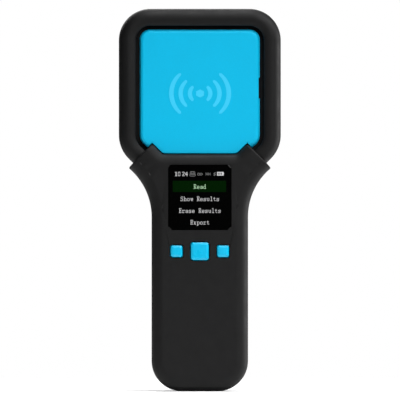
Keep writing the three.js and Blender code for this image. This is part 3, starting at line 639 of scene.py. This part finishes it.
def button_cap(side):
    """A square push button with rounded corners, a chamfered rim and a flange behind the casing."""
    b = BUTTONS[side]
    back = limits(f"button_{side}")[1].y
    front = back - FLANGE_THICKNESS
    rim = [(0, 0.62), (0.06, 0.48), (0.85, 0.06), (1.0, 0.01), (1.2, 0)]  # inset, and depth behind its top
    profile = [(-BUTTON_FLANGE, back), (-BUTTON_FLANGE, front), (0, front)]
    profile += [(inset, b["top"] + depth) for inset, depth in rim]
    rows = []
    for inset, y in profile:
        width = b["width"] - 2 * inset
        radius = max(0.35, b["radius"] - 0.75 * inset)
        rows.append(at_depth(rounded_rectangle(width, width, b["x"], b["z"], radius), y))
    made = closed_loft(f"button_{side}_cap", rows)
    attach(made, f"{side}_button")
    return made


def display_window():
    """The polished window, a plain plate with rounded corners."""
    rows = [at_depth(window_line(0), y) for y in (WINDOW_HIGH.y, WINDOW_LOW.y)]
    made = closed_loft("display_window_lens", rows)
    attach(made, "casing")
    return made


BEAD_HEIGHT = 0.4


def window_bead():
    """The bead of black glue round the window's foot, which closes the gap to the casing."""
    back, front = WINDOW_HIGH.y, WINDOW_HIGH.y - BEAD_HEIGHT
    inner, outer = -OVERLAP, GAP / 2 + OVERLAP
    section = [(inner, back), (inner, front), (outer, front), (outer, back), (inner, back)]
    rows = [at_depth(window_line(margin), y) for margin, y in section]
    sheet = Sheet()
    sheet.strip(rows, closed=True)
    made = sheet.make("window_bead", (0, 0, 0))
    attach(made, "casing")
    dress(made, materials["tape_black"])


HEAD_HEIGHT = 1.6
HEAD_SIDE = 0.5  # how far the head rises before its dome starts
TIP_LENGTH = 1.5
RECESS_DEPTH = 1.0


def cross_cutter(middle, head, top):
    """The tapered cross that cuts the recess in a screw whose head has this radius."""
    arm, half = 0.62 * head, 0.13 * head
    cross = []
    for quadrant in range(4):
        turn = math.radians(90 * quadrant)
        for u, v in ((arm, -half), (arm, half), (half * 1.3, half * 1.3)):
            x = u * math.cos(turn) - v * math.sin(turn)
            z = u * math.sin(turn) + v * math.cos(turn)
            cross.append((x, z))
    sheet = Sheet()
    ends = []
    for scale, y in ((0.7, top - RECESS_DEPTH), (1.1, top + 0.4)):
        line = [(middle.x + scale * x, middle.z + scale * z) for x, z in cross]
        ends.append((line, y))
    sheet.strip([at_depth(line, y) for line, y in ends], closed=True)
    for line, y in ends:
        sheet.fill(line, [], lambda x, z, y=y: (x, y, z))
    return sheet.make("cutter", (0, 0, 0))


def case_screw(node):
    """A pan-head screw with a cross recess, its head towards +Y."""
    low, high = limits(node)
    middle = centre_of(node)
    head = (high.x - low.x) / 2
    shank = head / 2
    seat = high.y - HEAD_HEIGHT
    dome = quarter((0, seat + HEAD_SIDE), (head * 0.45, high.y), 6)[1:]
    profile = [(0.4 * shank, low.y), (shank, low.y + TIP_LENGTH), (shank, seat), (head, seat)]
    profile += [(head - inset, y) for inset, y in dome]
    rings = [at_depth(circle(middle.x, middle.z, radius), y) for radius, y in profile]
    made = closed_loft(node + "_detail", rings)
    tool = cross_cutter(middle, head, high.y)
    cut = made.modifiers.new("recess", "BOOLEAN")
    cut.object = tool
    cut.solver = "EXACT"
    made.modifiers.move(len(made.modifiers) - 1, 0)
    settled = bpy.data.meshes.new_from_object(
        made.evaluated_get(bpy.context.evaluated_depsgraph_get())
    )
    made.modifiers.clear()
    made.data = settled
    made.data.set_sharp_from_angle(angle=math.radians(35))
    bpy.data.objects.remove(tool)
    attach(made, "casing")
    return made


# ----------------------------------------------------------------------------------------------
# What the display shows
# ----------------------------------------------------------------------------------------------
DOT = 26.1 / 128  # the display is 128 dots wide
CELL = 8  # dots from one letter to the next
CAPITAL = 11  # dots in a capital's height
SCREEN_Y = WINDOW_LOW.y
LIT_SHARE = 0.97  # the part of a dot's height that is lit
DOT_RISE = 0.012
BAR_RISE = 0.006

GLYPHS = {  # rows of dots from the top of a capital to the base line, then below it
    "R": "#####. .#..## .#...# .#...# .#..#. .###.. .#.#.. .#.##. .#..#. .#..## ###..#",
    "S": "..###. .#...# #....# #..... .##... ...##. ....## .....# #....# ##...# #.###.",
    "E": "###### .#...# .#.... .#..#. .#..#. .####. .#..#. .#..#. .#.... .#...# ######",
    "a": "- - - - .####. #....# ...### .##..# #....# #...## .###.#",
    "d": "...##. ....#. ....#. ....#. .####. #...#. #...#. #...#. #...#. #..##. .##.##",
    "e": "- - - - .####. #....# #....# ###### #..... #....# .####.",
    "h": "##.... .#.... .#.... .#.... .#.##. .##..# .#...# .#...# .#...# .#...# ###.##",
    "l": ".###.. ...#.. ...#.. ...#.. ...#.. ...#.. ...#.. ...#.. ...#.. ...#.. .#####",
    "o": "- - - - .####. #....# #....# #....# #....# #....# .####.",
    "p": "- - - - #####. .#...# .#...# .#...# .#...# .#...# .####. .#.... .#.... ###...",
    "r": "- - - - ###.## .##..# .#.... .#.... .#.... .#.... #####.",
    "s": "- - - - .##### #....# ##.... ..###. ....## #....# #####.",
    "t": "- - ..#... ..#... #####. ..#... ..#... ..#... ..#... ..#..# ...##.",
    "u": "- - - - ##..## .#...# .#...# .#...# .#...# .#..## ..##.#",
    "w": "- - - - ##.### .#.#.# .#.#.# .#.#.# .##.## ..#.#. ..#.#.",
    "x": "- - - - ###.## .#..#. ..##.. ..##.. ..##.. .#..#. ##.###",
    "0": ".####. ##..## #....# #....# #....# #....# #....# #....# #....# ##..## .####.",
    "1": "..##.. ####.. ..##.. ..##.. ..##.. ..##.. ..##.. ..##.. ..##.. ..##.. ######",
    "2": ".####. ##..## #....# ....## ....#. ...##. ..##.. .##... ##.... #....# ######",
    "4": "....#. ...##. ..###. .##.#. ##..#. #...#. ###### ###### ....#. ....#. ...###",
}
PRINTER = "..########.. .#........#. .#.##..##.#. .#........#. .##########. - ############"
PRINTER += " #..........# #..........# .##########."
LINK = "- - .###..###.. #...##...#. #...##...## #...##...#. .###..###.."
BUZZ = "#...##...#. .#.#..#.#.. #.#.##.#.#. .#.#..#.#.. #...##...#."
BOLT = "..## .##. ##.. #### ..## .##. ##.."
BATTERY = "################. ################. ##..##..##..####. ##..##..##..#####"
BATTERY += " ##..##..##..##### ##..##..##..##### ##..##..##..####. ################. ################."


def slab(sheet, x1, x2, low, top, rise):
    """Adds a thin block that stands out from the window's face by a rise."""
    corners = [(x1, low), (x2, low), (x2, top), (x1, top)]
    rows = [at_depth(corners, SCREEN_Y + OVERLAP), at_depth(corners, SCREEN_Y - rise)]
    sheet.strip(rows, closed=True)
    for row in rows:
        sheet.face(row)


def dot_rows(sheet, art, x, z, dot=DOT):
    """Adds each run of dots in a drawing as a thin bar. (x, z) is the drawing's top left corner."""
    for row, line in enumerate(art.split()):
        top = z - row * dot
        start = 0
        while start < len(line):
            end = start
            while end < len(line) and line[end] == "#":
                end += 1
            if end > start:
                slab(sheet, x + start * dot, x + end * dot, top - LIT_SHARE * dot, top, DOT_RISE)
            start = max(end, start + 1)


def text(sheet, words, z, x=None, dot=DOT):
    """Adds a line of text whose capitals are centred at the height z."""
    wide = CELL * dot
    left = -wide * len(words) / 2 if x is None else x
    for i, letter in enumerate(words):
        if letter != " ":
            dot_rows(sheet, GLYPHS[letter], left + i * wide + dot, z + CAPITAL / 2 * dot, dot)


def screen_piece(name, draw):
    sheet = Sheet()
    draw(sheet)
    made = sheet.make(name, (0, 0, 0), smooth=False)
    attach(made, "casing")
    return made


STATUS_Z = 108.5
DIGITS = {"10": -12.6, "24": -8.9}  # each number and its left edge
DIGIT_DOT = 0.19
BATTERY_X = 8.6
ICON_DOT = 0.25
ICONS = (  # each drawing, its left edge, and its top above the status line's middle
    (PRINTER, -5.1, 1.3),
    (LINK, -1.2, 1.0),
    (BUZZ, 2.9, 0.6),
    (BOLT, 6.9, 0.8),
)
ROWS = {"Show Results": 96.1, "Erase Results": 90.2, "Export": 84.4}  # each line and its height
CHOSEN_Z = 102.2
BAR = (-13.5, 13.1, 99.5, 105.1)  # its left, right, lower and upper edge


def draw_menu(sheet):
    for words, z in ROWS.items():
        text(sheet, words, z)
    for digits, x in DIGITS.items():
        text(sheet, digits, STATUS_Z, x, DIGIT_DOT)
    dot_rows(sheet, BATTERY, BATTERY_X, STATUS_Z + 1.0)


def draw_icons(sheet):
    for art, x, rise in ICONS:
        dot_rows(sheet, art, x, STATUS_Z + rise, ICON_DOT)


def draw_bar(sheet):
    slab(sheet, *BAR, BAR_RISE)


# ----------------------------------------------------------------------------------------------
# Materials
# ----------------------------------------------------------------------------------------------
CREVICE = 4  # how near the walls round a groove have to be for it to hold dust


class Surface:
    """A material built from nodes round one Principled shader."""

    def __init__(self, name):
        self.material = bpy.data.materials.new(name)
        self.material.use_nodes = True
        self.tree = self.material.node_tree
        self.shader = self.tree.nodes["Principled BSDF"]
        self.place = self.tree.nodes.new("ShaderNodeTexCoord").outputs["Object"]
        self.normal = None

    def node(self, kind, **inputs):
        made = self.tree.nodes.new(kind)
        for name, value in inputs.items():
            socket = made.inputs[name.replace("_", " ")]
            if isinstance(value, bpy.types.NodeSocket):
                self.tree.links.new(value, socket)
            else:
                socket.default_value = value
        return made

    def noise(self, size, detail=2.0, stretch=(1, 1, 1)):
        """Noise from 0 to 1 with features of a size in millimetres."""
        mapped = self.node("ShaderNodeMapping", Vector=self.place, Scale=stretch)
        noise = self.node(
            "ShaderNodeTexNoise",
            Vector=mapped.outputs[0],
            Scale=1 / (size * MM),
            Detail=detail,
            Roughness=0.55,
        )
        return noise.outputs[0]

    def spread(self, value, low, high, start=0.3, end=0.7):
        """A 0 to 1 value mapped to a range."""
        node = self.node("ShaderNodeMapRange", Value=value)
        for name, number in zip(("From Min", "From Max", "To Min", "To Max"), (start, end, low, high)):
            node.inputs[name].default_value = number
        return node.outputs[0]

    def blend(self, factor, a, b):
        node = self.tree.nodes.new("ShaderNodeMix")
        node.data_type = "RGBA"
        self.tree.links.new(factor, node.inputs[0])
        for socket, value in ((node.inputs[6], a), (node.inputs[7], b)):
            if isinstance(value, bpy.types.NodeSocket):
                self.tree.links.new(value, socket)
            else:
                socket.default_value = (*value, 1)
        return node.outputs[2]

    def set(self, socket, value):
        if isinstance(value, bpy.types.NodeSocket):
            self.tree.links.new(value, self.shader.inputs[socket])
        elif isinstance(value, tuple):
            self.shader.inputs[socket].default_value = (*value, 1)
        else:
            self.shader.inputs[socket].default_value = value

    def dulled(self, roughness):
        """Roughness that rises to 1 down in grooves and gaps, where dust stays."""
        sky = self.node("ShaderNodeAmbientOcclusion", Distance=CREVICE * MM).outputs["AO"]
        node = self.node("ShaderNodeMath")
        node.operation = "MAXIMUM"
        self.tree.links.new(roughness, node.inputs[0])
        self.tree.links.new(self.spread(sky, 1, 0, 0.4, 0.8), node.inputs[1])
        return node.outputs[0]

    def bump(self, height, depth, strength=1.0):
        """Relief of a depth in millimetres, on top of any relief added before."""
        node = self.node("ShaderNodeBump", Height=height, Strength=strength, Distance=depth * MM)
        if self.normal:
            self.tree.links.new(self.normal, node.inputs["Normal"])
        self.normal = node.outputs[0]
        self.set("Normal", self.normal)


def scaled(color, factor):
    return tuple(min(1.0, c * factor) for c in color)


def moulded(
    name, color, roughness, grain=0.35, relief=0.012, variation=0.12, specular=0.5, dusty=False
):
    """Moulded plastic: a spark-eroded grain, slow changes of tone and uneven polish."""
    s = Surface(name)
    cloud = s.spread(s.noise(18, 3), 0, 1)
    grains = s.noise(grain, 2)
    tone = s.blend(cloud, scaled(color, 1 - variation / 2), scaled(color, 1 + variation / 2))
    fleck = s.blend(s.spread(grains, 0, 1), scaled(color, 0.93), scaled(color, 1.07))
    s.set("Base Color", s.blend(s.spread(s.noise(0.9, 2), 0.2, 0.8), tone, fleck))
    polish = s.spread(s.noise(5, 4), roughness - 0.05, roughness + 0.06)
    s.set("Roughness", s.dulled(polish) if dusty else polish)
    s.set("Specular IOR Level", specular)
    s.bump(grains, relief)
    s.bump(s.noise(9, 2), 0.02, 0.4)
    return s.material


def polished(name, color, roughness):
    """Hard polished plastic with faint smears and a few hairline marks."""
    s = Surface(name)
    smear = s.spread(s.noise(9, 4, (1, 1, 0.45)), 0, 1)
    s.set("Base Color", s.blend(smear, scaled(color, 0.9), scaled(color, 1.1)))
    hair = s.noise(0.5, 1, (1, 1, 0.04))
    s.set("Roughness", s.spread(smear, roughness, roughness + 0.07))
    s.set("Specular IOR Level", 0.35)
    s.bump(hair, 0.0015, 0.5)
    return s.material


def lit(name, color, strength, roughness=0.12):
    """Glowing display dots under the polished window."""
    s = Surface(name)
    s.set("Base Color", scaled(color, 0.02))
    glow = s.blend(s.spread(s.noise(1.2, 1), 0, 1), scaled(color, 0.9), color)
    s.set("Emission Color", glow)
    s.set("Emission Strength", strength)
    s.set("Roughness", roughness)
    s.set("Specular IOR Level", 0.35)
    return s.material


def metal(name, color, roughness, grain=(1, 1, 12)):
    """Plated or drawn metal with fine brushing and dull patches."""
    s = Surface(name)
    brush = s.noise(0.6, 3, grain)
    s.set("Base Color", s.blend(s.spread(s.noise(2.5, 3), 0, 1), scaled(color, 0.8), color))
    s.set("Metallic", 1.0)
    s.set("Roughness", s.spread(brush, roughness - 0.06, roughness + 0.1))
    s.bump(brush, 0.004, 0.6)
    return s.material


def wound_copper(name, color):
    """Enamelled wire laid turn on turn round the former."""
    s = Surface(name)
    turns = s.node("ShaderNodeTexWave", Vector=s.place, Scale=900.0, Distortion=1.5)
    turns.wave_type = "BANDS"
    turns.bands_direction = "DIAGONAL"
    s.set("Base Color", s.blend(turns.outputs[1], scaled(color, 0.55), color))
    s.set("Metallic", 0.85)
    s.set("Roughness", s.spread(s.noise(1.5, 2), 0.25, 0.42))
    s.bump(turns.outputs[1], 0.05, 0.7)
    return s.material


def circuit_board(name, color):
    """Solder mask with tracks showing faintly through it."""
    s = Surface(name)
    cells = s.node("ShaderNodeTexVoronoi", Vector=s.place, Scale=420.0)
    cells.distance = "CHEBYCHEV"
    cells.feature = "F1"
    track = s.spread(cells.outputs["Distance"], 0, 1, 0.42, 0.5)
    s.set("Base Color", s.blend(track, color, scaled(color, 1.7)))
    s.set("Roughness", s.spread(s.noise(2, 3), 0.3, 0.42))
    s.bump(track, 0.03, 0.8)
    return s.material


def label_stock(name, color):
    """Printed polyester: a fine weave of ink over a slightly uneven adhesive."""
    s = Surface(name)
    s.set("Base Color", s.blend(s.spread(s.noise(0.25, 2), 0, 1), scaled(color, 0.85), scaled(color, 1.15)))
    s.set("Roughness", s.spread(s.noise(3, 3), 0.34, 0.5))
    s.bump(s.noise(4, 2), 0.02, 0.6)
    return s.material


BLACK = (0.0038, 0.0038, 0.004)
BLUE = (0.0003, 0.47, 0.76)
PALE_BLUE = (0.045, 0.59, 0.9)

materials = {
    "shell_black": moulded("black_abs", BLACK, 0.6, specular=0.22, dusty=True),
    "panel_blue": moulded("blue_abs", BLUE, 0.5, relief=0.006, variation=0.03, specular=0.15),
    "button_blue": moulded("button_blue_abs", BLUE, 0.3, relief=0.004, variation=0.03, specular=0.4),
    "window_black": polished("window_acrylic", (0.0002, 0.0002, 0.0002), 0.03),
    "screen": polished("display_glass", (0.006, 0.007, 0.008), 0.1),
    "white_plastic": moulded("diffuser_white", (0.75, 0.75, 0.72), 0.4, variation=0.04),
    "cream_plastic": moulded("natural_nylon", (0.66, 0.6, 0.46), 0.45, variation=0.08),
    "black_plastic": moulded("smooth_black", (0.014, 0.014, 0.015), 0.35, relief=0.004),
    "board_green": circuit_board("solder_mask", (0.008, 0.09, 0.035)),
    "copper": wound_copper("enamelled_copper", (0.72, 0.3, 0.13)),
    "steel": metal("zinc_plated_steel", (0.56, 0.57, 0.58), 0.3),
    "pouch_silver": metal("pouch_foil", (0.62, 0.63, 0.65), 0.35, (1, 1, 1)),
    "flex_amber": polished("polyimide_film", (0.42, 0.16, 0.02), 0.25),
    "foam_grey": moulded("foam", (0.05, 0.05, 0.052), 0.9, grain=0.7, relief=0.2),
    "tape_black": moulded("tape", (0.01, 0.01, 0.01), 0.8),
    "lead_red": moulded("red_silicone", (0.4, 0.01, 0.01), 0.4),
    "lead_black": moulded("black_silicone", (0.01, 0.01, 0.01), 0.4),
    "label_grey": label_stock("label_polyester", (0.1, 0.105, 0.11)),
}
printed = moulded("panel_ink", PALE_BLUE, 0.5, 0.2, relief=0.003, variation=0.02, specular=0.15)
text_glow = lit("display_text", (0.68, 0.68, 0.69), 1.0)
icon_glow = lit("display_icons", (0.2, 0.2, 0.2), 1.0)
chosen_glow = lit("display_chosen", (0.55, 0.86, 0.54), 0.95)
bar_glow = lit("display_bar", (0.0001, 0.0105, 0.0001), 1.0)


def dress(made, surface):
    made.data.materials.clear()
    made.data.materials.append(surface)


def stand_for(made, *nodes):
    """A finer piece takes the place of its CAD nodes, which it hides, and gets the material of their slot.
    """
    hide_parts(*nodes)
    slot = next(s["material_slot"] for s in frame["record"]["subparts"] if s["node"] == nodes[0])
    dress(made, materials[slot])


for part in frame["record"]["subparts"]:
    node = frame["nodes"][part["node"]]
    dress(node, materials[part["material_slot"]])
    node.data.shade_smooth()
    node.data.set_sharp_from_angle(angle=math.radians(32))

# ----------------------------------------------------------------------------------------------
# The object
# ----------------------------------------------------------------------------------------------
rear_holes = screw_holes(SCREW_HOLE) + sound_holes() + [label_outline(GAP)]
stand_for(handle_half("grip_front", -1, FRONT, front_holes(), front_detail), "handle_front_shell")
stand_for(handle_half("grip_rear", 1, REAR, rear_holes, rear_detail), "handle_rear_shell")

ledge = head_line(LEDGE_INSET, LEDGE_Z)
stand_for(head_half("head_front", -1, [ledge], lambda sheet: None), "head_front_frame")
stand_for(
    head_half("head_rear", 1, [panel_line(0, GAP)], raised_back_plate), "head_rear_shell"
)
stand_for(antenna_panel(), "antenna_panel")
dress(symbol(), printed)
for name, side in (("right", 1), ("left", -1)):
    seam_tongue(f"grip_tongue_{name}", lambda inset, side=side: grip_side(side, inset))
seam_tongue("yoke_tongue", lambda inset: upper_line(inset, REAR)[1:-1])
seam_tongue("head_tongue", lambda inset: head_line(inset, NECK_Z))
stand_for(display_window(), "display_window")
window_bead()
for side in BUTTONS:
    stand_for(button_cap(side), f"button_{side}")
for node in CASE_SCREWS:
    stand_for(case_screw(node), node)

dress(screen_piece("screen_menu", draw_menu), text_glow)
dress(screen_piece("screen_icons", draw_icons), icon_glow)
dress(screen_piece("screen_chosen_bar", draw_bar), bar_glow)
dress(screen_piece("screen_chosen_text", lambda sheet: text(sheet, "Read", CHOSEN_Z)), chosen_glow)

# ----------------------------------------------------------------------------------------------
# Floor, light and camera
# ----------------------------------------------------------------------------------------------
FLOOR_REACH = 400
MIDDLE = Vector((0, 0, 0.1))
LIGHTS = {  # place and size in metres, power in watts; all of them face the object
    "key": {"at": (0.45, -1.1, 0.75), "size": (0.7, 0.7), "power": 10.3},
    "overhead": {"at": (0.1, -0.2, 1.1), "size": (0.4, 0.3), "power": 6.6},
    "top_rim": {"at": (0.0, 0.35, 1.0), "size": (0.35, 0.3), "power": 2.3},
    "right_rim": {"at": (0.9, 0.35, 0.12), "size": (0.3, 0.45), "power": 4.9},
    "corner": {"at": (0.75, -0.1, 0.8), "size": (0.2, 0.2), "power": 5.5},
    "left": {"at": (-1.0, -0.5, 0.3), "size": (0.4, 0.8), "power": 0.5},
    "back": {"at": (-0.3, 1.2, 0.7), "size": (0.9, 0.6), "power": 8},
}


def pale_floor():
    """A white disc, bright enough to throw a little light back up at the object."""
    sheet = Sheet()
    sheet.fill(circle(0, 0, FLOOR_REACH, 96), [], lambda x, y: (x, y, 0))
    floor = sheet.make("floor", (0, 0, 1))
    s = Surface("pale_floor")
    s.set("Base Color", s.blend(s.spread(s.noise(60, 3), 0, 1), (0.86, 0.86, 0.86), (0.9, 0.9, 0.9)))
    s.set("Roughness", 0.7)
    s.set("Emission Color", (1.0, 1.0, 1.0))
    s.set("Emission Strength", 0.12)
    dress(floor, s.material)


def area_light(name, place, size, power):
    light = bpy.data.lights.new(name, "AREA")
    light.shape = "RECTANGLE"
    light.size, light.size_y = size
    light.energy = power
    lamp = bpy.data.objects.new(name, light)
    lamp.location = place
    lamp.rotation_euler = (lamp.location - MIDDLE).to_track_quat("Z", "Y").to_euler()
    bpy.context.scene.collection.objects.link(lamp)


def world():
    """White where the camera looks past the object, and a dim even grey as light."""
    made = bpy.data.worlds.new("studio")
    bpy.context.scene.world = made
    made.use_nodes = True
    tree = made.node_tree
    dim = tree.nodes["Background"]
    dim.inputs["Color"].default_value = (0.03, 0.03, 0.03, 1)
    white = tree.nodes.new("ShaderNodeBackground")
    white.inputs["Color"].default_value = (1, 1, 1, 1)
    path = tree.nodes.new("ShaderNodeLightPath")
    mix = tree.nodes.new("ShaderNodeMixShader")
    tree.links.new(path.outputs["Is Camera Ray"], mix.inputs[0])
    tree.links.new(dim.outputs[0], mix.inputs[1])
    tree.links.new(white.outputs[0], mix.inputs[2])
    tree.links.new(mix.outputs[0], tree.nodes["World Output"].inputs[0])


def camera():
    """A long lens level with the middle of the object."""
    lens, sensor, view_width = 1000, 36, 0.2
    data = bpy.data.cameras.new("camera")
    data.lens, data.sensor_width = lens, sensor
    made = bpy.data.objects.new("camera", data)
    made.location = (0.0001, -view_width * lens / sensor, 0.0955)
    made.rotation_euler = (math.radians(90), 0, 0)
    bpy.context.scene.collection.objects.link(made)
    bpy.context.scene.camera = made


pale_floor()
world()
camera()
for name, lamp in LIGHTS.items():
    area_light(name, lamp["at"], lamp["size"], lamp["power"])
bpy.context.scene.view_settings.view_transform = "Standard"
